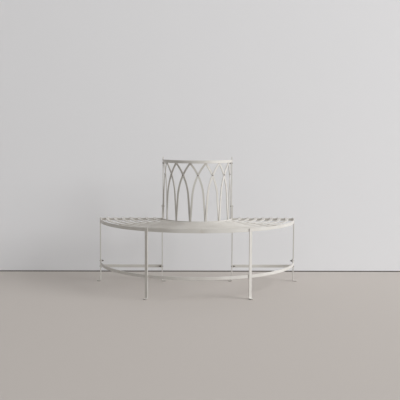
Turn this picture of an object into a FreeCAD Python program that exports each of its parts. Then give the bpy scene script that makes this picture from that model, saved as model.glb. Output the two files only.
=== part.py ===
"""Half-round tree bench in painted steel flat bar.

A seat of curved slats wraps half of a tree trunk. Its inner edge carries a curved
back of interlaced pointed arches under a top rail, and six flat-bar legs with
turned toes stand it on the ground. The seat, legs and rail are welded. Bolts hold
the stretchers' ends and the two ends of the back, and rivets the arch bars.

Millimetres, +Z up. While a piece is drawn, the seat's arcs are centred on the Z
axis and the front is -Y. Every shape is then moved back by seat_shift, so that
the part stands on the centre of its footprint.
"""

from collections import namedtuple
import FreeCAD, Part
import math
import os

# Seat
seat_height = 450.0          # top of the rims and slats above the ground
outer_rim_radius = 674.0     # outer face of the outer rim
inner_rim_radius = 242.0     # seat side of the inner rim
rim_thickness = 6.0
rim_height = 22.0
slat_count = 7
slat_width = 20.0
slat_thickness = 5.0
inner_slat_gap = 47.5        # between the inner rim and the first slat
outer_slat_gap = 34.5        # between the last slat and the outer rim
bearer_count = 4             # radial bearers between the two at the ends
bearer_thickness = 5.0

# Legs
bar_width = 20.0
bar_thickness = 6.0
bar_corner_cut = 4.0         # corners cut off at a bar's free ends
toe_length = 22.0            # reach of a toe past the leg's face
toe_bend_radius = 5.0        # inside of the bend
front_leg_angle = 61.2       # from the bench's right end, and the same from its left
inner_leg_rise = 90.0        # inner legs run this far above the seat

# Stretchers
stretcher_width = 20.0
curved_stretcher_height = 145.0      # middle above the ground
curved_stretcher_thickness = 6.0
straight_stretcher_height = 106.0
straight_stretcher_thickness = 5.0
stretcher_bend_radius = 4.0          # inside of the bend at each tab

# Back, with heights above the seat
rail_rise = 408.0            # top of the rail
rail_height = 20.0
rail_thickness = 6.0
upright_thickness = 6.0
upright_end = 18.0           # an upright ends this far above the rail
bay_count = 7
arch_bar_width = 13.0
arch_bar_thickness = 4.0
arch_bend_rise = 165.0       # an arch bar is straight up to here and an arc above
arch_bend_lean = 13.5        # how far its middle has leaned there
arch_corner_radius = 60.0    # bend of the back between two flat bays
arch_foot_lap = 20.0         # arch bars lap the inner rim by this much
arch_top_lap = 17.0          # and the rail by this much
middle_bolt_rise = 80.0
middle_bolt_back = 3.5       # behind the upright's middle, clear of the arch bar's foot
corner_bolt_drop = 7.0       # below the rail

# Fasteners. They repeat, so they and their holes are drawn with few flat sides.
round_sides = 7
head_top_share = 0.5         # flat top of a round head, as a share of its width
BoltSize = namedtuple("BoltSize", "diameter length head_width head_height nut_width nut_height")
stretcher_bolt = BoltSize(6.0, 25.0, 11.5, 3.4, 10.0, 5.0)
back_bolt = BoltSize(5.0, 20.0, 9.5, 2.8, 8.0, 4.0)
bolt_hole_clearance = 0.6
nut_clearance = 0.2
rivet_diameter = 5.0
rivet_hole_clearance = 0.4
rivet_head_diameter = 9.0
rivet_head_height = 2.6
hole_reach = 25.0            # a drill goes this far to both sides
spacer_diameter = 12.5
spacer_clearance = 0.1
tab_clearance = 0.3          # a stretcher's tab ends this far behind the leg's front edge

# Sizes that follow from those above
bar_half = bar_width / 2
rear_reach = bar_half + bearer_thickness
outer_rim_inside = outer_rim_radius - rim_thickness
inner_rim_inside = inner_rim_radius - rim_thickness
inner_leg_face = inner_rim_radius + bar_thickness
outer_leg_face = outer_rim_radius + bar_thickness
rim_bottom = seat_height - rim_height
slat_bottom = seat_height - slat_thickness
rail_top = seat_height + rail_rise
rail_bottom = rail_top - rail_height
seat_shift = (outer_rim_radius - rear_reach) / 2

# The two layers of arch bars meet on back_radius at each foot
back_radius = inner_rim_inside - arch_bar_thickness
bay_angle = 180.0 / bay_count
half_bay = math.radians(bay_angle / 2)
bay_width = 2 * back_radius * math.sin(half_bay)
corner_centre_radius = back_radius - arch_corner_radius
bay_distance = corner_centre_radius * math.cos(half_bay) + arch_corner_radius
arch_foot = seat_height - arch_foot_lap
arch_top = rail_bottom + arch_top_lap

# An arch bar's arc carries on from its straight foot and ends where it meets the rail
# over the next foot. Its lengths run from its own foot across the bay.
bend_height = seat_height + arch_bend_rise
foot_slant = math.atan2(arch_bend_lean, bend_height - arch_foot)
chord_slant = math.atan2(bay_width - arch_bend_lean, rail_bottom - bend_height)
top_slant = 2 * chord_slant - foot_slant
arch_radius = (rail_bottom - bend_height) / (math.sin(top_slant) - math.sin(foot_slant))
arch_centre_run = arch_bend_lean + arch_radius * math.cos(foot_slant)
arch_centre_height = bend_height - arch_radius * math.sin(foot_slant)

UP = FreeCAD.Vector(0, 0, 1)
RIGHT = FreeCAD.Vector(1, 0, 0)
SIDES = {"left": -1, "right": 1}
FRONT_LEGS = {"left": 180.0 - front_leg_angle, "right": front_leg_angle}
NODES = {}


def point(x, y, z=0.0):
    return FreeCAD.Vector(x, y, z)


def polar(radius, degrees, z=0.0):
    """A point on a circle about the seat's centre; 0 is the right end, 90 the front."""
    angle = math.radians(degrees)
    return point(radius * math.cos(angle), -radius * math.sin(angle), z)


def line(start, end):
    return Part.LineSegment(start, end).toShape()


def arc(start, middle, end):
    return Part.Arc(start, middle, end).toShape()


def prism(edges, direction):
    return Part.Face(Part.Wire(edges)).extrude(direction)


def box(low, high):
    size = high - low
    return Part.makeBox(size.x, size.y, size.z, low)


def mirrored(shape):
    """The same shape on the other side of the bench."""
    return shape.mirror(point(0, 0), RIGHT)


def on_side(shape, side):
    return shape if side > 0 else mirrored(shape)


def turned(shape, degrees):
    """Turn a shape drawn at the right end to its place round the seat."""
    result = shape.copy()
    result.rotate(point(0, 0), UP, -degrees)
    return result


def placed(shape, origin, direction):
    """Move a shape drawn along +X so that it starts at origin and runs along direction."""
    result = shape.copy()
    turn = FreeCAD.Rotation(RIGHT, direction)
    result.Placement = FreeCAD.Placement(origin, turn).multiply(result.Placement)
    return result


def sagitta(radius, width):
    """How far a flat face of this width stands off the hollow of a curve."""
    return radius - math.sqrt(radius ** 2 - (width / 2) ** 2)


def half_ring(inside, outside, bottom, top):
    """A half-round bar whose two ends run straight to the back of the seat."""
    edges = [
        line(point(-outside, rear_reach), point(-outside, 0)),
        arc(point(-outside, 0), point(0, -outside), point(outside, 0)),
        line(point(outside, 0), point(outside, rear_reach)),
        line(point(outside, rear_reach), point(inside, rear_reach)),
        line(point(inside, rear_reach), point(inside, 0)),
        arc(point(inside, 0), point(0, -inside), point(-inside, 0)),
        line(point(-inside, 0), point(-inside, rear_reach)),
        line(point(-inside, rear_reach), point(-outside, rear_reach)),
    ]
    ring = prism(edges, UP * (top - bottom))
    ring.translate(UP * bottom)
    return ring


def add(name, *solids):
    """Keep the solids of one node, moved to the part's own origin."""
    moved = []
    for solid in solids:
        copy = solid.copy()
        copy.translate(point(0, seat_shift))
        moved.append(copy)
    NODES[name] = moved[0] if len(moved) == 1 else Part.makeCompound(moved)


# Fasteners, drawn along +X from the face under the head

def round_piece(steps, sides=round_sides):
    """A piece round the X axis, from its (x, radius) steps in order, with flat sides."""
    rings = []
    for x, radius in steps:
        ring = []
        for index in range(sides):
            angle = 2 * math.pi * index / sides
            ring.append(point(x, -radius * math.sin(angle), radius * math.cos(angle)))
        rings.append(ring)
    outlines = [rings[0][::-1], rings[-1]]
    for before, after in zip(rings, rings[1:]):
        for index in range(sides):
            outlines.append([before[index - 1], before[index], after[index], after[index - 1]])
    faces = [Part.Face(Part.makePolygon(corners + corners[:1])) for corners in outlines]
    return Part.Solid(Part.Shell(faces))


def round_bar(diameter, start, end):
    return round_piece([(start, diameter / 2), (end, diameter / 2)])


def bolt(size):
    rim = size.head_width / 2
    shank = size.diameter / 2
    return round_piece([
        (-size.head_height, rim * head_top_share),
        (0, rim),
        (0, shank),
        (size.length, shank),
    ])


def nut(size):
    corner = size.nut_width / math.sqrt(3)
    hexagon = round_piece([(0, corner), (size.nut_height, corner)], 6)
    return hexagon.cut(round_bar(size.diameter + nut_clearance, 0, size.nut_height))


def rivet(grip):
    """A rivet with a round head at each end of its grip."""
    rim = rivet_head_diameter / 2
    shank = rivet_diameter / 2
    return round_piece([
        (-rivet_head_height, rim * head_top_share),
        (0, rim),
        (0, shank),
        (grip, shank),
        (grip, rim),
        (grip + rivet_head_height, rim * head_top_share),
    ])


class Fixing:
    """A bolt or rivet: the middle of the face under its head, its axis and its grip."""

    def __init__(self, origin, direction, grip, size=None):
        self.origin = origin
        self.direction = direction
        self.grip = grip
        self.size = size

    def bolt(self):
        return placed(bolt(self.size), self.origin, self.direction)

    def nut(self):
        return placed(nut(self.size), self.origin + self.direction * self.grip, self.direction)

    def rivet(self):
        return placed(rivet(self.grip), self.origin, self.direction)

    def hole(self):
        if self.size:
            diameter = self.size.diameter + bolt_hole_clearance
        else:
            diameter = rivet_diameter + rivet_hole_clearance
        return placed(round_bar(diameter, -hole_reach, hole_reach), self.origin, self.direction)


def drilled(solid, fixings):
    for fixing in fixings:
        hole = fixing.hole()
        if hole.BoundBox.intersect(solid.BoundBox):
            solid = solid.cut(hole)
    return solid


# Where the bolts and rivets go

def at_curved_end(side):
    """A bolt through an outer leg and the end of the curved stretcher inside it."""
    inside = outer_rim_radius - curved_stretcher_thickness
    hollow = sagitta(inside, stretcher_bolt.nut_width)
    grip = bar_thickness + curved_stretcher_thickness + hollow
    origin = point(side * outer_leg_face, 0, curved_stretcher_height)
    return Fixing(origin, RIGHT * -side, grip, stretcher_bolt)


def at_tab(side, leg_face, direction):
    """A bolt through a leg and the stretcher tab on it, in the middle of the tab's flat."""
    flat_end = bar_half - straight_stretcher_thickness - stretcher_bend_radius
    middle = (tab_clearance - bar_half + flat_end) / 2
    origin = point(side * leg_face, middle, straight_stretcher_height)
    grip = bar_thickness + straight_stretcher_thickness
    return Fixing(origin, RIGHT * side * direction, grip, stretcher_bolt)


def at_middle(side):
    """A bolt through an inner leg's upper end and the upright, beside the arch bar's foot."""
    origin = point(side * inner_leg_face, middle_bolt_back, seat_height + middle_bolt_rise)
    return Fixing(origin, RIGHT * -side, bar_thickness + upright_thickness, back_bolt)


def corner_place(side):
    """On an upright's seat side, in line with the arch bar that ends there."""
    height = rail_bottom - corner_bolt_drop
    run = arch_centre_run - math.sqrt(arch_radius ** 2 - (height - arch_centre_height) ** 2)
    forward = (bay_width - run) * math.cos(half_bay)
    return point(side * inner_rim_radius, -forward, height)


def at_corner(side):
    """A bolt through an upright and the top of the last arch bar.

    That bar is in the rear layer at the left end, where a spacer fills the front one.
    """
    origin = corner_place(side)
    layers = 1 if side > 0 else 2
    hollow = arch_corner_radius - (layers - 1) * arch_bar_thickness
    room = sagitta(hollow, back_bolt.nut_width - 2 * origin.y)
    grip = upright_thickness + layers * arch_bar_thickness + room
    return Fixing(origin, RIGHT * -side, grip, back_bolt)


def stretcher_fixings():
    fixings = []
    for side in SIDES.values():
        fixings.append(at_curved_end(side))
        fixings.append(at_tab(side, outer_leg_face, -1))
        fixings.append(at_tab(side, inner_rim_radius, 1))
    return fixings


def back_fixings():
    fixings = []
    for side in SIDES.values():
        fixings.append(at_middle(side))
        fixings.append(at_corner(side))
    return fixings


def crossing_fixings():
    fixings = []
    across = arch_centre_run - bay_width / 2
    height = arch_centre_height + math.sqrt(arch_radius ** 2 - across ** 2)
    for bay in range(1, bay_count + 1):
        direction = bay_middle(bay)
        origin = polar(bay_distance + arch_bar_thickness, direction, height)
        fixings.append(Fixing(origin, polar(-1, direction), 2 * arch_bar_thickness))
    return fixings


def end_spacers():
    """Fill the front layer's room behind the foot at the right and the top at the left."""
    bore = round_bar(back_bolt.diameter + bolt_hole_clearance, 0, arch_bar_thickness)
    spacer = round_bar(spacer_diameter, spacer_clearance, arch_bar_thickness).cut(bore)
    foot = point(inner_rim_inside, 0, seat_height - arch_foot_lap / 2)
    top = corner_place(-1) + RIGHT * upright_thickness
    return [placed(spacer, foot, RIGHT * -1), placed(spacer, top, RIGHT)]


# Seat

def slat_radius(index):
    first = inner_rim_radius + inner_slat_gap + slat_width / 2
    last = outer_rim_inside - outer_slat_gap - slat_width / 2
    return first + index * (last - first) / (slat_count - 1)


def seat_slat(index):
    middle = slat_radius(index)
    return half_ring(middle - slat_width / 2, middle + slat_width / 2, slat_bottom, seat_height)


def radial_bearer(number):
    """A bar on edge that the slats lie on, cut to the curve of both rims."""
    low = point(0, -bearer_thickness / 2, rim_bottom)
    high = point(outer_rim_radius, bearer_thickness / 2, slat_bottom)
    between = half_ring(inner_rim_radius, outer_rim_inside, rim_bottom, slat_bottom)
    degrees = 180.0 * number / (bearer_count + 1)
    return turned(box(low, high), 180.0 - degrees).common(between)


def end_bearer(side):
    low = point(inner_rim_radius, bar_half, rim_bottom)
    high = point(outer_rim_inside, rear_reach, slat_bottom)
    return on_side(box(low, high), side)


# Legs and uprights

def cut_corners(bar, at_end):
    """Cut off the corners of a flat bar at the ends that at_end picks."""
    corners = []
    for edge in bar.Edges:
        middle = edge.BoundBox.Center
        at_side = abs(abs(middle.y) - bar_half) < 0.01 and edge.BoundBox.YLength < 0.01
        if at_side and at_end(middle):
            corners.append(edge)
    return bar.makeChamfer(bar_corner_cut, corners)


def toed_bar(height):
    """A flat bar along +Z whose foot is bent to a toe along +X."""
    heel = toe_bend_radius + bar_thickness
    toe_end = bar_thickness + toe_length
    slant = math.sqrt(0.5)
    centre = point(heel, 0, heel)
    outer_mid = centre - point(heel * slant, 0, heel * slant)
    inner_mid = centre - point(toe_bend_radius * slant, 0, toe_bend_radius * slant)
    edges = [
        line(point(0, 0, height), point(0, 0, heel)),
        arc(point(0, 0, heel), outer_mid, point(heel, 0, 0)),
        line(point(heel, 0, 0), point(toe_end, 0, 0)),
        line(point(toe_end, 0, 0), point(toe_end, 0, bar_thickness)),
        line(point(toe_end, 0, bar_thickness), point(heel, 0, bar_thickness)),
        arc(point(heel, 0, bar_thickness), inner_mid, point(bar_thickness, 0, heel)),
        line(point(bar_thickness, 0, heel), point(bar_thickness, 0, height)),
        line(point(bar_thickness, 0, height), point(0, 0, height)),
    ]
    bar = prism(edges, point(0, bar_width, 0))
    bar.translate(point(0, -bar_half, 0))

    def free_end(middle):
        return abs(middle.x - toe_end) < 0.01 or abs(middle.z - height) < 0.01

    return cut_corners(bar, free_end)


def rim_leg(degrees):
    """A leg on the outside of the outer rim, with its toe pointing away from the tree."""
    leg = toed_bar(seat_height)
    leg.translate(point(outer_rim_radius, 0, 0))
    return turned(leg, degrees)


def inner_leg(side):
    """A leg on the seat side of the inner rim, with its toe towards the tree."""
    leg = mirrored(toed_bar(seat_height + inner_leg_rise))
    leg.translate(point(inner_leg_face, 0, 0))
    return on_side(leg, side)


def back_upright(side):
    """Stands on the inner rim's end, against the inner leg."""
    top = rail_top + upright_end
    low = point(inner_rim_radius - upright_thickness, -bar_half, seat_height)
    high = point(inner_rim_radius, bar_half, top)
    bar = cut_corners(box(low, high), lambda middle: abs(middle.z - top) < 0.01)
    return on_side(bar, side)


# Stretchers

def curved_stretcher():
    bottom = curved_stretcher_height - stretcher_width / 2
    inside = outer_rim_radius - curved_stretcher_thickness
    return half_ring(inside, outer_rim_radius, bottom, bottom + stretcher_width)


def straight_stretcher(side):
    """A flat bar between an outer leg and an inner leg, each end bent forward to a tab."""
    thickness = straight_stretcher_thickness
    bend = stretcher_bend_radius
    outer_bend = bend + thickness
    front = tab_clearance - bar_half
    rear = bar_half
    left = inner_leg_face
    right = outer_rim_radius
    slant = math.sqrt(0.5)
    left_centre = point(left + outer_bend, rear - outer_bend)
    right_centre = point(right - outer_bend, rear - outer_bend)

    def corner(centre, radius, x_side):
        return centre + point(x_side * radius * slant, radius * slant)

    edges = [
        line(point(left, front), point(left, left_centre.y)),
        arc(point(left, left_centre.y), corner(left_centre, outer_bend, -1),
            point(left_centre.x, rear)),
        line(point(left_centre.x, rear), point(right_centre.x, rear)),
        arc(point(right_centre.x, rear), corner(right_centre, outer_bend, 1),
            point(right, right_centre.y)),
        line(point(right, right_centre.y), point(right, front)),
        line(point(right, front), point(right - thickness, front)),
        line(point(right - thickness, front), point(right - thickness, right_centre.y)),
        arc(point(right - thickness, right_centre.y), corner(right_centre, bend, 1),
            point(right_centre.x, rear - thickness)),
        line(point(right_centre.x, rear - thickness), point(left_centre.x, rear - thickness)),
        arc(point(left_centre.x, rear - thickness), corner(left_centre, bend, -1),
            point(left + thickness, left_centre.y)),
        line(point(left + thickness, left_centre.y), point(left + thickness, front)),
        line(point(left + thickness, front), point(left, front)),
    ]
    bar = prism(edges, UP * stretcher_width)
    bar.translate(UP * (straight_stretcher_height - stretcher_width / 2))
    return on_side(bar, side)


# Back: flat bays, bent round a corner at the foot of each pair of arch bars

def bay_middle(bay):
    """Direction of a bay's middle; bay 1 is at the left end of the bench."""
    return 180.0 - (bay - 0.5) * bay_angle


def back_line(offset):
    """Plan line of the back, offset from the surface where the two layers of bars meet."""
    radius = arch_corner_radius + offset
    last = point(-corner_centre_radius - radius, rear_reach)
    edges = []
    for corner in range(bay_count + 1):
        direction = 180.0 - corner * bay_angle
        centre = polar(corner_centre_radius, direction)
        before = 180.0 if corner == 0 else direction + bay_angle / 2
        after = 0.0 if corner == bay_count else direction - bay_angle / 2
        start = centre + polar(radius, before)
        end = centre + polar(radius, after)
        edges.append(line(last, start))
        edges.append(arc(start, centre + polar(radius, (before + after) / 2), end))
        last = end
    edges.append(line(last, point(corner_centre_radius + radius, rear_reach)))
    return edges


def back_layer(inner_offset, outer_offset):
    """All the room of one layer of arch bars, from their feet to their tops."""
    edges = back_line(outer_offset) + back_line(inner_offset)
    for side in SIDES.values():
        outer = side * (back_radius + outer_offset)
        inner = side * (back_radius + inner_offset)
        edges.append(line(point(outer, rear_reach), point(inner, rear_reach)))
    layer = prism(Part.__sortEdges__(edges), UP * (arch_top - arch_foot))
    layer.translate(UP * arch_foot)
    return layer


def arch_outline():
    """Front view of a bar that rises at the left of its bay and leans to the right.

    It is cut off level at its foot and top, and upright where it would pass the
    end of its bay by more than half a bar.
    """
    half = arch_bar_width / 2
    foot = -bay_width / 2
    foot_half = half / math.cos(foot_slant)

    def on_arc(offset, slant):
        radius = arch_radius + offset
        return point(foot + arch_centre_run - radius * math.cos(slant), 0,
                     arch_centre_height + radius * math.sin(slant))

    def end_slant(offset):
        return math.asin((arch_top - arch_centre_height) / (arch_radius + offset))

    def arch_side(offset):
        end = end_slant(offset)
        middle = (foot_slant + end) / 2
        return arc(on_arc(offset, foot_slant), on_arc(offset, middle), on_arc(offset, end))

    outer_foot = point(foot - foot_half, 0, arch_foot)
    inner_foot = point(foot + foot_half, 0, arch_foot)
    edges = [
        line(outer_foot, on_arc(half, foot_slant)),
        arch_side(half),
        line(on_arc(half, end_slant(half)), on_arc(-half, end_slant(-half))),
        arch_side(-half),
        line(on_arc(-half, foot_slant), inner_foot),
        line(inner_foot, outer_foot),
    ]
    outline = prism(edges, point(0, -outer_rim_radius, 0))
    low = point(foot - foot_half, -outer_rim_radius, arch_foot)
    bay = box(low, point(half - foot, 0, arch_top))
    return outline.common(bay)


def arch_bar(outline, bay, layer, fixings):
    """One bar: its front outline, pushed through the layer that it is bent to."""
    bar = turned(outline, bay_middle(bay) - 90).common(layer)
    return drilled(bar, fixings)


def top_rail():
    """Curved bar on edge whose ends meet the front edges of the uprights."""
    ring = half_ring(inner_rim_radius - rail_thickness, inner_rim_radius, rail_bottom, rail_top)
    ends = box(point(-outer_rim_radius, -bar_half, rail_bottom),
               point(outer_rim_radius, rear_reach, rail_top))
    return ring.cut(ends)


# Nodes

def build_seat():
    add("outer_rim", half_ring(outer_rim_inside, outer_rim_radius, rim_bottom, seat_height))
    add("inner_rim", half_ring(inner_rim_inside, inner_rim_radius, rim_bottom, seat_height))
    for index in range(slat_count):
        add("seat_slat_%d" % (index + 1), seat_slat(index))
    for number in range(1, bearer_count + 1):
        add("seat_bearer_%d" % number, radial_bearer(number))
    for name, side in SIDES.items():
        add("end_bearer_" + name, end_bearer(side))


def build_legs(bolts):
    for name, side in SIDES.items():
        degrees = 0.0 if side > 0 else 180.0
        add("outer_leg_" + name, drilled(rim_leg(degrees), bolts))
        add("front_leg_" + name, rim_leg(FRONT_LEGS[name]))
        add("inner_leg_" + name, drilled(inner_leg(side), bolts))


def build_stretchers(bolts):
    add("curved_stretcher", drilled(curved_stretcher(), bolts))
    for name, side in SIDES.items():
        add("straight_stretcher_" + name, drilled(straight_stretcher(side), bolts))


def build_back(bolts, rivets):
    for name, side in SIDES.items():
        add("back_upright_" + name, drilled(back_upright(side), bolts))
    add("top_rail", top_rail())
    front = back_layer(0, arch_bar_thickness)
    rear = back_layer(-arch_bar_thickness, 0)
    outline = arch_outline()
    for bay in range(1, bay_count + 1):
        add("arch_bar_right_%d" % bay, arch_bar(outline, bay, front, bolts + rivets))
        add("arch_bar_left_%d" % bay, arch_bar(mirrored(outline), bay, rear, bolts + rivets))


def add_bolts(name, bolts):
    add(name + "_bolts", *[fixing.bolt() for fixing in bolts])
    add(name + "_nuts", *[fixing.nut() for fixing in bolts])


def build():
    stretchers = stretcher_fixings()
    back = back_fixings()
    crossings = crossing_fixings()
    build_seat()
    build_legs(stretchers + back)
    build_stretchers(stretchers)
    build_back(back, crossings)
    add_bolts("stretcher", stretchers)
    add_bolts("back", back)
    add("crossing_rivets", *[fixing.rivet() for fixing in crossings])
    add("end_spacers", *end_spacers())


def export():
    os.makedirs("parts", exist_ok=True)
    for name, shape in NODES.items():
        shape.exportStep("parts/%s.step" % name)
        print("%-26s solids %2d  volume %10.0f" % (name, len(shape.Solids), shape.Volume))


build()
export()
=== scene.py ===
"""Half-round tree bench: smooth painted bars, bolts, nuts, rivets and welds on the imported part.

Metres, in the part's own frame: +X right, the front is -Y, +Z up.
"""

from collections import namedtuple
import math

import bmesh
import bpy
from mathutils import Matrix, Vector


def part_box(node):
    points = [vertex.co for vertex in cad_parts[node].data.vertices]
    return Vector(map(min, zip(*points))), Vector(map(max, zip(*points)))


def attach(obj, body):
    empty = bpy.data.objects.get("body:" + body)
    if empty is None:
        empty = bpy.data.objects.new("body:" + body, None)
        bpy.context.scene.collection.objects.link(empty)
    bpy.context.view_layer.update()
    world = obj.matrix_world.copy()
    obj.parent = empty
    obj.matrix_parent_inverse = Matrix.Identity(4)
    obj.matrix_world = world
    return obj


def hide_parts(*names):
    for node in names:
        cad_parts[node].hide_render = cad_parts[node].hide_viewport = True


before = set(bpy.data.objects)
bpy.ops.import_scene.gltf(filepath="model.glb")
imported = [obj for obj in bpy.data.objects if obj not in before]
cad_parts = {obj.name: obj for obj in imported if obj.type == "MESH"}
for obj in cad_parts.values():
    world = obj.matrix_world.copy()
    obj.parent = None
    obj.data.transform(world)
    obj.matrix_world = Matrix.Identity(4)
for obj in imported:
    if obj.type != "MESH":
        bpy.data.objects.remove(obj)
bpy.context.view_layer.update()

# Bars, as in the part
rim_thickness = 0.006
slat_width = 0.020
leg_width = 0.020
leg_thickness = 0.006
toe_reach = 0.028            # from the leg's back face to the toe's tip
toe_bend_radius = 0.005
toe_rounding = 0.007
top_rounding = 0.004
front_leg_angle = math.radians(61.2)
bearer_thickness = 0.005
bearer_count = 4             # between the two at the ends

# Arched back, as in the part
bay_count = 7
arch_bar_width = 0.013
arch_bar_thickness = 0.004
arch_bend_rise = 0.165       # an arch bar is straight up to here above the seat, and then an arc
arch_bend_lean = 0.0135      # how far it has leaned there
arch_corner_radius = 0.060

# Fasteners, as in the part
BoltSize = namedtuple("BoltSize", "length radius head_radius head_height nut_width nut_height pitch")
BOLT_SIZES = {
    "stretcher": BoltSize(0.025, 0.0030, 0.00565, 0.0034, 0.010, 0.005, 0.0010),
    "back": BoltSize(0.020, 0.0025, 0.00465, 0.0028, 0.008, 0.004, 0.0008),
}
thread_depth = 0.00035
thread_share = 0.62          # share of a bolt's length that has a thread
head_edge = 0.0006           # upright rim of a round head
dome_steps = 7
nut_ring_share = 0.36        # flat ring round a nut's bore, as a share of its corner radius
nut_dish = 0.0006            # the bore's countersink
rivet_head_radius = 0.0044
rivet_head_height = 0.0025
rivet_grip = 0.008
spacer_radius = 0.0061
spacer_bore_radius = 0.0028

# Soft edges
edge_radius = 0.0009
arch_edge_radius = 0.0008
bolt_edge_radius = 0.0002
nut_edge_radius = 0.0005
spacer_edge_radius = 0.0003
bar_edge_angle = 28.0        # only edges sharper than this are softened
turned_edge_angle = 50.0     # and on turned shapes, only these

# Welds
weld_radius = 0.0020
butt_weld_radius = 0.0012    # where two faces are flush
weld_sides = 10
ripple_length = 0.9          # in radii
ripple_peak_at = 0.4         # along a ripple, as a share of it
ripple_neck_at = 0.9
ripple_neck = 0.86           # radius between two ripples, as a share
seam_inset = 0.001           # a bead stops short of the seam's ends by this
rounded_seam_inset = 0.003   # beside a leg's rounded top
slat_seam_inset = 0.002
rail_seam_inset = 0.002

# How finely the shapes are drawn
ring_steps = 128             # round a half-round bar
turned_steps = 28            # round a bolt or rivet
toe_bend_steps = 10
rounding_steps = 6
arch_bar_cuts = 5            # across an arch bar's face
arch_foot_steps = 8
arch_arc_steps = 44
arch_overrun = 0.01          # an arch bar's arc is drawn this angle too long, and cut off
merge_distance = 1e-5
fine_merge_distance = 1e-6

# Paint that isn't clean, and painted shade in its corners and at the ground
STAIN = (0.42, 0.33, 0.25, 1)
GRIME_AND_SHADE = (0.24, 0.18, 0.13, 1)
BARE_METAL = (0.17, 0.12, 0.085, 1)
GROUND_DIRT_AND_SHADE = (0.13, 0.10, 0.075, 1)

# Photograph: a square frame of this many pixels, with this focal length in pixels
photo_size = 400
photo_focal = 780.3
sensor_width = 36.0
camera_place = Vector((-0.0759, -5.0972, 1.0559))
camera_pitch = math.radians(5.080)      # down
camera_yaw = math.radians(0.995)        # to the right
camera_roll = math.radians(0.261)

# Places that follow from the frame
rim_low, rim_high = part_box("outer_rim")
outer_radius = rim_high.x
arc_y = rim_low.y + outer_radius
seat_top = rim_high.z
inner_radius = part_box("inner_rim")[1].x
tree_axis = Vector((0, arc_y, 0))
rail_low, rail_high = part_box("top_rail")

# Back: flat bays, bent round a corner at the foot of each pair of arch bars
back_radius = inner_radius - rim_thickness - arch_bar_thickness
bay_angle = math.pi / bay_count
half_bay = bay_angle / 2
bay_width = 2 * back_radius * math.sin(half_bay)
corner_run = (back_radius - arch_corner_radius) * math.sin(half_bay)
corner_reach = (back_radius - arch_corner_radius) * math.cos(half_bay)
arch_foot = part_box("arch_bar_right_4")[0].z
arch_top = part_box("arch_bar_right_4")[1].z

# An arch bar's arc carries on from its straight foot and meets the rail over the next foot
bend_height = seat_top + arch_bend_rise
foot_slant = math.atan2(arch_bend_lean, bend_height - arch_foot)
chord_slant = math.atan2(bay_width - arch_bend_lean, rail_low.z - bend_height)
top_slant = 2 * chord_slant - foot_slant
arch_radius = (rail_low.z - bend_height) / (math.sin(top_slant) - math.sin(foot_slant))
arch_centre_run = arch_bend_lean + arch_radius * math.cos(foot_slant)
arch_centre_height = bend_height - arch_radius * math.sin(foot_slant)

SIDES = {"left": -1, "right": 1}
UP = Vector((0, 0, 1))

# The studio
stage_reach = 9.0
wall_y = 0.70
wall_height = 5.0
wall_gap_height = 0.008
wall_gap_front = 0.002       # the gap's strip of painted shade stands this far before the wall
light_target = Vector((0, 0, 0.45))


# Shader nodes

def add(tree, kind, inputs=None, **settings):
    """Add a shader node; inputs are values, or sockets to link from."""
    node = tree.nodes.new(kind)
    for key, value in settings.items():
        setattr(node, key, value)
    for socket, value in (inputs or {}).items():
        if isinstance(value, bpy.types.NodeSocket):
            tree.links.new(value, node.inputs[socket])
        else:
            node.inputs[socket].default_value = value
    return node


def noise(tree, place, scale, detail=3.0, roughness=0.5):
    node = add(tree, "ShaderNodeTexNoise",
               {"Vector": place, "Scale": scale, "Detail": detail, "Roughness": roughness})
    return node.outputs["Fac"]


def ramped(tree, value, low, high, to_low=0.0, to_high=1.0):
    node = add(tree, "ShaderNodeMapRange",
               {"Value": value, "From Min": low, "From Max": high, "To Min": to_low, "To Max": to_high})
    return node.outputs["Result"]


def maths(tree, operation, first, second):
    return add(tree, "ShaderNodeMath", {0: first, 1: second}, operation=operation).outputs[0]


def times(tree, first, second):
    return maths(tree, "MULTIPLY", first, second)


def blended(tree, amount, first, second):
    """Mix two colours. The node's sockets 6, 7 and 2 are its colours A and B and the result."""
    node = add(tree, "ShaderNodeMix", {0: amount, 6: first, 7: second}, data_type="RGBA")
    return node.outputs[2]


def edge_mask(tree, reach):
    """1 on an outside edge and 0 where the bar is thicker than the reach."""
    node = add(tree, "ShaderNodeAmbientOcclusion", {"Distance": reach},
               samples=6, inside=True, only_local=True)
    return ramped(tree, node.outputs["AO"], 0.86, 0.48)


def corner_mask(tree, reach):
    """1 deep in a corner between two pieces and 0 on open flats."""
    node = add(tree, "ShaderNodeAmbientOcclusion", {"Distance": reach}, samples=6)
    return ramped(tree, node.outputs["AO"], 0.80, 0.30)


def new_material(slot):
    """A material for one of the record's slots, or for the stage."""
    material = bpy.data.materials.new(slot + "_finish")
    material["slot"] = slot
    material.use_nodes = True
    tree = material.node_tree
    place = add(tree, "ShaderNodeTexCoord").outputs["Object"]
    return material, tree, tree.nodes["Principled BSDF"], place


def connect(tree, shader, **sockets):
    for name, value in sockets.items():
        tree.links.new(value, shader.inputs[name.replace("_", " ")])


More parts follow.
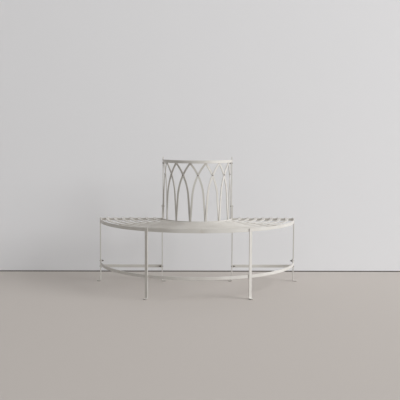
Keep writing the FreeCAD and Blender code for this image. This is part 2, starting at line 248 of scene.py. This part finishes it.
def antique_paint(name, paint, shade, wear):
    """Satin cream paint, rubbed at the edges, brown and grimy in corners and soiled at the ground; the
    corners and the ground also carry painted shade.
    """
    material, tree, shader, place = new_material(name)
    clouds = ramped(tree, noise(tree, place, 7.0, 4.0), 0.35, 0.70)
    mottle = noise(tree, place, 70.0, 5.0, 0.65)
    grain = noise(tree, place, 650.0, 2.0)
    tone = blended(tree, clouds, paint, shade)
    stains = ramped(tree, noise(tree, place, 24.0, 6.0, 0.7), 0.58, 0.80, 0.0, 0.38)
    tone = blended(tree, stains, tone, STAIN)
    # Painted shade, partly grimy paint: deep corners between pieces darken to brown.
    grime_and_shade = times(tree, corner_mask(tree, 0.007), ramped(tree, mottle, 0.30, 0.62, 0.15, 0.60))
    tone = blended(tree, grime_and_shade, tone, GRIME_AND_SHADE)
    chips = ramped(tree, noise(tree, place, 190.0, 6.0, 0.75), 0.50, 0.56, 0.0, wear)
    worn = times(tree, edge_mask(tree, 0.0017), times(tree, chips, ramped(tree, mottle, 0.42, 0.60)))
    tone = blended(tree, worn, tone, BARE_METAL)
    # Painted contact shade, partly soil: the lowest few millimetres darken to brown.
    rise = add(tree, "ShaderNodeSeparateXYZ", {"Vector": place}).outputs["Z"]
    at_ground = ramped(tree, rise, 0.0030, 0.0060, 0.8, 0.0)
    ground_dirt_and_shade = times(tree, at_ground, ramped(tree, mottle, 0.30, 0.50, 0.6, 1.0))
    tone = blended(tree, ground_dirt_and_shade, tone, GROUND_DIRT_AND_SHADE)
    height = maths(tree, "SUBTRACT", maths(tree, "ADD", mottle, grain), worn)
    bump = add(tree, "ShaderNodeBump", {"Height": height, "Strength": 0.30, "Distance": 0.0004})
    roughness = maths(tree, "ADD", ramped(tree, mottle, 0.3, 0.7, 0.36, 0.60), times(tree, worn, 0.3))
    connect(tree, shader, Base_Color=tone, Roughness=roughness, Normal=bump.outputs["Normal"])
    return material


def dark_steel_and_shade(name, dark, rust, rust_share):
    """Very dark steel with brown tarnish; its dark tone is partly painted shade, standing in for the shade
    round the fasteners.
    """
    material, tree, shader, place = new_material(name)
    patches = ramped(tree, noise(tree, place, 260.0, 5.0, 0.65), 0.62 - rust_share, 0.66)
    scratch = noise(tree, place, 1500.0, 3.0)
    tone = blended(tree, patches, dark, rust)
    bump = add(tree, "ShaderNodeBump", {"Height": scratch, "Strength": 0.25, "Distance": 0.0002})
    shader.inputs["Metallic"].default_value = 0.75
    roughness = ramped(tree, scratch, 0.3, 0.7, 0.36, 0.60)
    connect(tree, shader, Base_Color=tone, Roughness=roughness, Normal=bump.outputs["Normal"])
    return material


frame_paint = antique_paint("frame_paint", (0.66, 0.645, 0.61, 1), (0.58, 0.56, 0.52, 1), 0.75)
slat_paint = antique_paint("slat_paint", (0.68, 0.66, 0.62, 1), (0.60, 0.575, 0.53, 1), 0.60)
arch_paint = antique_paint("arch_paint", (0.64, 0.625, 0.59, 1), (0.54, 0.52, 0.48, 1), 0.75)
# The fasteners' dark tone is partly painted shade; the brown patches are tarnish.
bolt_steel = dark_steel_and_shade("bolt_steel", (0.13, 0.12, 0.105, 1), (0.09, 0.06, 0.04, 1), 0.12)
rivet_steel = dark_steel_and_shade("rivet_steel", (0.14, 0.12, 0.10, 1), (0.09, 0.06, 0.04, 1), 0.14)


# Pieces

def new_piece(name, bm, material, *nodes):
    """Make an object of a bmesh; it stands for the nodes named."""
    mesh = bpy.data.meshes.new(name)
    bm.to_mesh(mesh)
    bm.free()
    mesh.shade_smooth()
    mesh.materials.append(material)
    piece = bpy.data.objects.new(name, mesh)
    bpy.context.scene.collection.objects.link(piece)
    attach(piece, "root")
    if nodes:
        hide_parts(*nodes)
    return piece


def soften(piece, radius=edge_radius, segments=3, sharpest=bar_edge_angle):
    bevel = piece.modifiers.new("soft edges", "BEVEL")
    bevel.width = radius
    bevel.segments = segments
    bevel.limit_method = "ANGLE"
    bevel.angle_limit = math.radians(sharpest)
    bevel.harden_normals = True


def flat_face(bm, corners):
    return bm.faces.new([bm.verts.new(corner) for corner in corners])


def whole_end(faces):
    """Faces with their edges and corners, so that none stays behind inside the bar."""
    found = {}
    for face in faces:
        found.update(dict.fromkeys([face, *face.edges, *face.verts]))
    return list(found)


def push(bm, faces, shift):
    """Extrude faces and return the faces at the new end."""
    grown = bmesh.ops.extrude_face_region(bm, geom=whole_end(faces))["geom"]
    moved = [item for item in grown if isinstance(item, bmesh.types.BMVert)]
    bmesh.ops.translate(bm, verts=moved, vec=shift)
    return [item for item in grown if isinstance(item, bmesh.types.BMFace)]


def bend(bm, faces, centre, axis, angle, steps):
    """Spin faces round an axis and return the faces at the new end."""
    spun = bmesh.ops.spin(bm, geom=whole_end(faces), cent=centre, axis=axis, angle=angle, steps=steps)
    return [item for item in spun["geom_last"] if isinstance(item, bmesh.types.BMFace)]


def in_order(bm):
    """The same shape, with its vertices, edges and faces in an order that is the same on each run."""
    verts = sorted(bm.verts, key=lambda vert: tuple(vert.co))
    numbers = {vert: number for number, vert in enumerate(verts)}
    faces = sorted([numbers[vert] for vert in face.verts] for face in bm.faces)
    again = bmesh.new()
    places = [again.verts.new(vert.co) for vert in verts]
    for face in faces:
        again.faces.new([places[number] for number in face])
    bm.free()
    return again


def cut_off(bm, place, normal):
    """Cut a bar at a plane, take away what lies beyond it and close the end."""
    geometry = bm.verts[:] + bm.edges[:] + bm.faces[:]
    cut = bmesh.ops.bisect_plane(bm, geom=geometry, plane_co=place, plane_no=normal, clear_outer=True)
    edges = [item for item in cut["geom_cut"] if isinstance(item, bmesh.types.BMEdge)]
    if edges:
        bmesh.ops.contextual_create(bm, geom=edges)


def half_round_bar(node, width, material):
    """A bar bent round the tree's axis, with straight ends where the node reaches the rear."""
    low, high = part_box(node)
    outside = high.x
    inside = outside - width
    straight = max(high.y - arc_y, 0.0)
    short = math.asin(max(arc_y - high.y, 0.0) / outside)
    bm = bmesh.new()
    start = arc_y + straight
    end = [flat_face(bm, [(inside, start, low.z), (outside, start, low.z),
                          (outside, start, high.z), (inside, start, high.z)])]
    turn = Matrix.Rotation(-short, 3, "Z")
    bmesh.ops.rotate(bm, verts=bm.verts, cent=tree_axis, matrix=turn)
    if straight:
        end = push(bm, end, (0, -straight, 0))
    end = bend(bm, end, tree_axis, UP, -(math.pi - 2 * short), ring_steps)
    if straight:
        push(bm, end, (0, straight, 0))
    bmesh.ops.recalc_face_normals(bm, faces=bm.faces)
    soften(new_piece("shaped_" + node, in_order(bm), material, node))


def corner_edges(bm, axis, level, across):
    """Edges at one level along an axis that keep their place across the bar."""
    found = []
    for edge in bm.edges:
        first, second = edge.verts[0].co, edge.verts[1].co
        at_level = max(abs(first[axis] - level), abs(second[axis] - level)) < merge_distance
        if at_level and abs(first[across] - second[across]) < merge_distance:
            found.append(edge)
    return found


def toed_leg(node, place, turn):
    """A flat bar whose foot is bent to a toe with a rounded tip; turn 0 points it along +X."""
    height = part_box(node)[1].z
    heel = toe_bend_radius + leg_thickness
    half = leg_width / 2
    bm = bmesh.new()
    end = [flat_face(bm, [(0, -half, height), (leg_thickness, -half, height),
                          (leg_thickness, half, height), (0, half, height)])]
    end = push(bm, end, (0, 0, heel - height))
    end = bend(bm, end, (heel, 0, heel), (0, 1, 0), -math.pi / 2, toe_bend_steps)
    push(bm, end, (toe_reach - heel, 0, 0))
    for axis, level, radius in ((0, toe_reach, toe_rounding), (2, height, top_rounding)):
        bmesh.ops.bevel(bm, geom=corner_edges(bm, axis, level, 1), offset=radius,
                        segments=rounding_steps, profile=0.5, affect="EDGES", material=-1)
    bmesh.ops.recalc_face_normals(bm, faces=bm.faces)
    matrix = Matrix.Translation(place) @ Matrix.Rotation(turn, 4, "Z")
    bmesh.ops.transform(bm, matrix=matrix, verts=bm.verts)
    soften(new_piece("shaped_" + node, in_order(bm), frame_paint, node))


def bay_point(bay, run, offset, height):
    """A place on the back: run is from the bay's middle to the right, offset is outwards."""
    radius = arch_corner_radius + offset
    past = max(abs(run) - corner_run, 0.0)
    bent = radius * math.sin(half_bay)
    at_bench_end = (bay == 1 and run < 0) or (bay == bay_count and run > 0)
    if at_bench_end and past > bent:
        reach = radius * math.cos(half_bay) - (past - bent) * math.tan(half_bay)
    else:
        reach = math.sqrt(radius ** 2 - past ** 2)
    place = Vector((run, -corner_reach - reach, height))
    return tree_axis + Matrix.Rotation((bay - 0.5) * bay_angle - math.pi / 2, 3, "Z") @ place


def arch_bar(node):
    """A flat bar, straight at its foot and then bent over, that follows the back's bays.

    It is drawn flat as it leans to the right, in the front layer or the rear one.
    """
    lean = 1 if "right" in node else -1
    bay = int(node.rsplit("_", 1)[1])
    inward = 0.0 if lean > 0 else arch_bar_thickness
    across = Vector((math.cos(foot_slant), 0, -math.sin(foot_slant))) * arch_bar_width / 2
    upward = Vector((math.sin(foot_slant), 0, math.cos(foot_slant)))
    straight = (bend_height - arch_foot) / math.cos(foot_slant) + arch_bar_width
    start = Vector((arch_bend_lean - bay_width / 2, inward, bend_height)) - upward * straight
    thick = Vector((0, -arch_bar_thickness, 0))
    bm = bmesh.new()
    foot = flat_face(bm, [start - across, start + across, start + across + thick, start - across + thick])
    wide = [edge for edge in foot.edges if edge.calc_length() > arch_bar_width / 2]
    bmesh.ops.subdivide_edges(bm, edges=wide, cuts=arch_bar_cuts)
    end = bm.faces[:]
    for _ in range(arch_foot_steps):
        end = push(bm, end, upward * straight / arch_foot_steps)
    end_slant = math.asin((arch_top - arch_centre_height) / (arch_radius - arch_bar_width / 2))
    centre = (arch_centre_run - bay_width / 2, 0, arch_centre_height)
    bend(bm, end, centre, (0, 1, 0), end_slant - foot_slant + arch_overrun, arch_arc_steps)
    bm = in_order(bm)
    cut_off(bm, (0, 0, arch_foot), (0, 0, -1))
    cut_off(bm, (0, 0, arch_top), (0, 0, 1))
    cut_off(bm, ((bay_width + arch_bar_width) / 2, 0, 0), (1, 0, 0))
    for vert in bm.verts:
        vert.co = bay_point(bay, lean * vert.co.x, -vert.co.y, vert.co.z)
    bm.normal_update()
    bmesh.ops.recalc_face_normals(bm, faces=bm.faces)
    soften(new_piece("shaped_" + node, in_order(bm), arch_paint, node), arch_edge_radius)


def merged_copy(node):
    """The node's own mesh, with its loose triangles joined to whole faces."""
    bm = bmesh.new()
    bm.from_mesh(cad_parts[node].data)
    bmesh.ops.remove_doubles(bm, verts=bm.verts, dist=merge_distance)
    bmesh.ops.dissolve_limit(bm, angle_limit=math.radians(0.5), verts=bm.verts, edges=bm.edges)
    return bm


def softened_copy(node, material):
    soften(new_piece("shaped_" + node, merged_copy(node), material, node))


def solids(node):
    """Vertex places of each separate solid in a node, in order."""
    bm = merged_copy(node)
    left = set(bm.verts)
    groups = []
    while left:
        start = left.pop()
        group, waiting = [start], [start]
        while waiting:
            vert = waiting.pop()
            for link in vert.link_edges:
                other = link.other_vert(vert)
                if other in left:
                    left.remove(other)
                    group.append(other)
                    waiting.append(other)
        groups.append(sorted(tuple(vert.co) for vert in group))
    bm.free()
    return [[Vector(place) for place in group] for group in sorted(groups)]


def middle(places):
    return sum(places, Vector()) / len(places)


# Fasteners, drawn along +X from the face under the head

def turned_shape(steps, closed=False, sides=turned_steps):
    """A shape turned round the X axis from its (x, radius) steps."""
    bm = bmesh.new()
    verts = [bm.verts.new((x, 0, radius)) for x, radius in steps]
    pairs = list(zip(verts, verts[1:]))
    if closed:
        pairs.append((verts[-1], verts[0]))
    edges = [bm.edges.new(pair) for pair in pairs]
    bmesh.ops.spin(bm, geom=verts + edges, cent=(0, 0, 0), axis=(1, 0, 0), angle=2 * math.pi,
                   steps=sides, use_merge=True)
    bmesh.ops.remove_doubles(bm, verts=bm.verts, dist=fine_merge_distance)
    bmesh.ops.recalc_face_normals(bm, faces=bm.faces)
    return bm


def dome(radius, height):
    """Steps of a low round head from its top to its rim, as (rise, radius)."""
    sphere = (radius ** 2 + height ** 2) / (2 * height)
    span = math.asin(radius / sphere)
    found = []
    for index in range(dome_steps + 1):
        angle = span * index / dome_steps
        found.append((height - sphere + sphere * math.cos(angle), sphere * math.sin(angle)))
    return found


def bolt_shape(size):
    head = dome(size.head_radius, size.head_height - head_edge)
    steps = [(-head_edge - rise, radius) for rise, radius in head]
    thread_start = size.length * (1 - thread_share)
    steps += [(0, size.head_radius), (0, size.radius), (thread_start, size.radius)]
    for index in range(int(size.length * thread_share / size.pitch) - 1):
        start = thread_start + index * size.pitch
        steps.append((start + size.pitch / 2, size.radius - thread_depth))
        steps.append((start + size.pitch, size.radius))
    steps.append((size.length, size.radius - 2 * thread_depth))
    steps.append((size.length, 0))
    return turned_shape(steps)


def rivet_shape(grip):
    head = dome(rivet_head_radius, rivet_head_height)
    near = [(-rise, radius) for rise, radius in head]
    far = [(grip + rise, radius) for rise, radius in head]
    return turned_shape(near + far[::-1])


def nut_shape(size):
    """A hexagon nut with chamfered corners and a countersunk bore, centred on the origin."""
    bm = bmesh.new()
    along_x = Matrix.Rotation(math.pi / 2, 4, "Y")
    corner = size.nut_width / math.sqrt(3)
    bmesh.ops.create_cone(bm, cap_ends=True, segments=6, radius1=corner, radius2=corner,
                          depth=size.nut_height, matrix=along_x)
    caps = [face for face in bm.faces if abs(face.normal.x) > 0.9]
    bmesh.ops.inset_individual(bm, faces=caps, thickness=corner * nut_ring_share)
    for face in caps:
        bmesh.ops.translate(bm, verts=face.verts, vec=face.normal * -nut_dish)
    return bm


def gathered(name, parts, material, *nodes):
    """One object from several small shapes, each with its own place."""
    mesh = bpy.data.meshes.new(name + "_parts")
    whole = bmesh.new()
    for bm, matrix in parts:
        bmesh.ops.transform(bm, matrix=matrix, verts=bm.verts)
        bm.to_mesh(mesh)
        bm.free()
        whole.from_mesh(mesh)
    bpy.data.meshes.remove(mesh)
    return new_piece(name, in_order(whole), material, *nodes)


def along(place, direction):
    """Put a shape drawn along +X at a place, along a direction."""
    turn = Vector((1, 0, 0)).rotation_difference(direction)
    return Matrix.Translation(place) @ turn.to_matrix().to_4x4()


def make_bolts(kind):
    size = BOLT_SIZES[kind]
    parts = []
    for places in solids(kind + "_bolts"):
        centre = middle(places)
        low = min(place.x for place in places)
        high = max(place.x for place in places)
        side = 1 if centre.x < (low + high) / 2 else -1
        tip = high if side > 0 else low
        place = Vector((tip - side * size.length, centre.y, centre.z))
        parts.append((bolt_shape(size), along(place, Vector((side, 0, 0)))))
    piece = gathered("round_head_%s_bolts" % kind, parts, bolt_steel, kind + "_bolts")
    soften(piece, bolt_edge_radius, 2, turned_edge_angle)


def make_nuts(kind):
    parts = []
    for places in solids(kind + "_nuts"):
        parts.append((nut_shape(BOLT_SIZES[kind]), Matrix.Translation(middle(places))))
    piece = gathered("hexagon_%s_nuts" % kind, parts, bolt_steel, kind + "_nuts")
    soften(piece, nut_edge_radius, 2)


def make_rivets(node):
    parts = []
    for places in solids(node):
        centre = middle(places)
        inward = Vector((-centre.x, arc_y - centre.y, 0)).normalized()
        parts.append((rivet_shape(rivet_grip), along(centre - inward * rivet_grip / 2, inward)))
    gathered("round_" + node, parts, rivet_steel, node)


def make_spacers(node):
    parts = []
    for places in solids(node):
        centre = middle(places)
        half = (max(place.x for place in places) - min(place.x for place in places)) / 2
        ring = [(-half, spacer_bore_radius), (-half, spacer_radius),
                (half, spacer_radius), (half, spacer_bore_radius)]
        parts.append((turned_shape(ring, True), Matrix.Translation(centre)))
    piece = gathered("round_" + node, parts, bolt_steel, node)
    soften(piece, spacer_edge_radius, 2, turned_edge_angle)


# Welds

def weld_bead(start, end, radius=weld_radius):
    """A rippled bead along a seam, half sunk in the pieces that it joins."""
    seam = end - start
    ripples = max(round(seam.length / (ripple_length * radius)), 2)
    steps = [(0, 0)]
    for index in range(ripples):
        steps.append(((index + ripple_peak_at) * seam.length / ripples, radius))
        steps.append(((index + ripple_neck_at) * seam.length / ripples, radius * ripple_neck))
    steps.append((seam.length, 0))
    return turned_shape(steps, sides=weld_sides), along(start, seam.normalized())


def round_seat(radius, angle, aside, height):
    """A place round the tree: angle 0 is the right end, aside is further to the front."""
    outward = Vector((math.cos(angle), -math.sin(angle), 0))
    return tree_axis + outward * radius + UP.cross(outward) * -aside + UP * height


def upright_seams(radius, angle, asides, low, high):
    return [weld_bead(round_seat(radius, angle, aside, low), round_seat(radius, angle, aside, high))
            for aside in asides]


def seat_welds():
    rim_inside = outer_radius - rim_thickness
    slats = [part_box(node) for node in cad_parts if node.startswith("seat_slat")]
    slat_low = slats[0][0].z
    both_faces = (-bearer_thickness / 2, bearer_thickness / 2)
    bearers = [(math.pi * number / (bearer_count + 1), both_faces) for number in range(1, bearer_count + 1)]
    bearers += [(0.0, (-leg_width / 2,)), (math.pi, (leg_width / 2,))]
    beads = []
    for angle, asides in bearers:
        for radius in (inner_radius, rim_inside):
            beads += upright_seams(radius, angle, asides, rim_low.z + seam_inset, slat_low - seam_inset)
        for low, high in slats:
            for aside in asides:
                near = round_seat(high.x - slat_width + slat_seam_inset, angle, aside, slat_low)
                far = round_seat(high.x - slat_seam_inset, angle, aside, slat_low)
                beads.append(weld_bead(near, far))
    gathered("seat_welds", beads, frame_paint)


def leg_welds():
    stretcher_low, stretcher_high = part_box("curved_stretcher")
    stretcher_seam = (stretcher_low.z + seam_inset, stretcher_high.z - seam_inset)
    rim_seam = (rim_low.z + seam_inset, seat_top - rounded_seam_inset)
    edges = (-leg_width / 2, leg_width / 2)
    beads = []
    for angle in (0.0, math.pi):
        beads += upright_seams(outer_radius, angle, edges, *rim_seam)
        beads += upright_seams(inner_radius, angle, edges, rim_seam[0], seat_top - seam_inset)
    for angle in (front_leg_angle, math.pi - front_leg_angle):
        beads += upright_seams(outer_radius, angle, edges, *rim_seam)
        beads += upright_seams(outer_radius, angle, edges, *stretcher_seam)
    gathered("leg_welds", beads, frame_paint)


def arch_seam(bay, lean, side, offset, low, high):
    """A bead along one side of an arch bar, between two heights."""
    ends = []
    for height in (low, high):
        if height < bend_height:
            run = (height - arch_foot) * math.tan(foot_slant) + side * arch_bar_width / 2
        else:
            radius = arch_radius - side * arch_bar_width / 2
            run = arch_centre_run - math.sqrt(radius ** 2 - (height - arch_centre_height) ** 2)
        ends.append(bay_point(bay, lean * (run - bay_width / 2), offset, height))
    return weld_bead(*ends)


def back_welds():
    foot_seam = (arch_foot + seam_inset, seat_top - seam_inset)
    top_seam = (rail_low.z + rail_seam_inset, arch_top - rail_seam_inset)
    beads = []
    for bay in range(1, bay_count + 1):
        for lean, offset in ((1, arch_bar_thickness), (-1, 0.0)):
            for side in (-1, 1):
                beads.append(arch_seam(bay, lean, side, offset, *foot_seam))
            beads.append(arch_seam(bay, lean, -1, offset, *top_seam))
    for side in SIDES.values():
        front = arc_y - leg_width / 2
        rise = UP * (rail_high.z - rail_low.z - 2 * seam_inset)
        for radius in (inner_radius, inner_radius - rim_thickness):
            place = Vector((side * radius, front, rail_low.z + seam_inset))
            beads.append(weld_bead(place, place + rise, butt_weld_radius))
        for edge_y in (front, arc_y + leg_width / 2):
            start = Vector((side * (inner_radius - rim_thickness + seam_inset / 2), edge_y, seat_top))
            beads.append(weld_bead(start, start + Vector((side * (rim_thickness - seam_inset), 0, 0))))
    gathered("back_welds", beads, frame_paint)


# The bench

def make_bench():
    for node in ("outer_rim", "inner_rim", "curved_stretcher", "top_rail"):
        half_round_bar(node, rim_thickness, frame_paint)
    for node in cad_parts:
        if node.startswith("seat_slat"):
            half_round_bar(node, slat_width, slat_paint)
        elif node.startswith("arch_bar"):
            arch_bar(node)
        elif node.startswith(("seat_bearer", "end_bearer", "back_upright", "straight_stretcher")):
            softened_copy(node, frame_paint)
    inner_face = inner_radius + leg_thickness
    for name, side in SIDES.items():
        outward = 0.0 if side > 0 else math.pi
        toed_leg("outer_leg_" + name, (side * outer_radius, arc_y, 0), outward)
        toed_leg("inner_leg_" + name, (side * inner_face, arc_y, 0), math.pi - outward)
        around = -front_leg_angle if side > 0 else front_leg_angle - math.pi
        place = tree_axis + Vector((math.cos(around), math.sin(around), 0)) * outer_radius
        toed_leg("front_leg_" + name, place, around)
    for kind in BOLT_SIZES:
        make_bolts(kind)
        make_nuts(kind)
    make_rivets("crossing_rivets")
    make_spacers("end_spacers")
    seat_welds()
    leg_welds()
    back_welds()


# Studio

def one_sided(material):
    """Let a wall or floor be seen, and cast shade, only from its front."""
    tree = material.node_tree
    out = tree.nodes["Material Output"]
    clear = add(tree, "ShaderNodeBsdfTransparent")
    side = add(tree, "ShaderNodeNewGeometry").outputs["Backfacing"]
    mix = add(tree, "ShaderNodeMixShader", {0: side, 1: tree.nodes["Principled BSDF"].outputs[0],
                                            2: clear.outputs[0]})
    tree.links.new(mix.outputs[0], out.inputs["Surface"])


def plain_matte(name, colour):
    material, _, shader, _ = new_material(name)
    shader.inputs["Base Color"].default_value = colour
    shader.inputs["Roughness"].default_value = 0.9
    one_sided(material)
    return material


def stage_plane(name, corners, material):
    bm = bmesh.new()
    flat_face(bm, corners)
    mesh = bpy.data.meshes.new(name)
    bm.to_mesh(mesh)
    bm.free()
    mesh.materials.append(material)
    plane = bpy.data.objects.new(name, mesh)
    bpy.context.scene.collection.objects.link(plane)


def upright_plane(name, y, height, material):
    left, right = -stage_reach, stage_reach
    stage_plane(name, [(left, y, 0), (right, y, 0), (right, y, height), (left, y, height)], material)


def make_stage():
    floor = plain_matte("floor_matte", (0.54, 0.50, 0.465, 1))
    wall = plain_matte("wall_matte", (0.83, 0.835, 0.85, 1))
    # A dark strip of painted shade where the gap at the foot of the wall lies in shade.
    gap = plain_matte("wall_gap_shade_matte", (0.12, 0.11, 0.10, 1))
    low, high = -stage_reach, stage_reach
    stage_plane("floor", [(low, low, 0), (high, low, 0), (high, high, 0), (low, high, 0)], floor)
    upright_plane("wall_gap", wall_y - wall_gap_front, wall_gap_height, gap)
    upright_plane("wall", wall_y, wall_height, wall)


def make_light(name, direction, distance, size, watts, colour=(1, 1, 1)):
    """A square window or lamp that faces the bench from a direction."""
    place = light_target + Vector(direction) * distance
    data = bpy.data.lights.new(name, "AREA")
    data.shape = "SQUARE"
    data.size = size
    data.energy = watts
    data.color = colour
    lamp = bpy.data.objects.new(name, data)
    bpy.context.scene.collection.objects.link(lamp)
    lamp.location = place
    lamp.rotation_euler = (light_target - place).to_track_quat("-Z", "Y").to_euler()


def make_lights():
    """Two lamps, and a room that is paler where it is seen than in the light it gives."""
    make_light("window", (0.83, -0.37, 0.44), 20, size=11.4, watts=4000, colour=(0.985, 0.99, 1.0))
    make_light("front_fill", (-0.30, -0.85, 0.55), 10, size=8, watts=95)
    world = bpy.data.worlds.new("pale room")
    bpy.context.scene.world = world
    world.use_nodes = True
    tree = world.node_tree
    rays = add(tree, "ShaderNodeLightPath").outputs
    seen = maths(tree, "MAXIMUM", rays["Is Camera Ray"], rays["Is Glossy Ray"])
    seen = maths(tree, "MAXIMUM", seen, rays["Is Transmission Ray"])
    background = tree.nodes["Background"]
    light_colour = (0.23, 0.225, 0.22, 1)
    seen_colour = (0.72, 0.72, 0.73, 1)
    colour = blended(tree, seen, light_colour, seen_colour)
    tree.links.new(colour, background.inputs["Color"])


def make_camera():
    """The photograph's camera: level forward direction, tipped down, then rolled."""
    forward = Vector((math.sin(camera_yaw), math.cos(camera_yaw), 0))
    right = forward.cross(UP)
    forward = forward * math.cos(camera_pitch) - UP * math.sin(camera_pitch)
    up = right.cross(forward)
    rolled_right = right * math.cos(camera_roll) + up * math.sin(camera_roll)
    rolled_up = rolled_right.cross(forward)
    turn = Matrix((rolled_right, rolled_up, -forward)).transposed()
    data = bpy.data.cameras.new("camera")
    data.sensor_width = sensor_width
    data.lens = sensor_width * photo_focal / photo_size
    camera = bpy.data.objects.new("camera", data)
    bpy.context.scene.collection.objects.link(camera)
    camera.matrix_world = Matrix.Translation(camera_place) @ turn.to_4x4()
    bpy.context.scene.camera = camera


make_bench()
make_stage()
make_lights()
make_camera()
bpy.context.scene.view_settings.view_transform = "Standard"
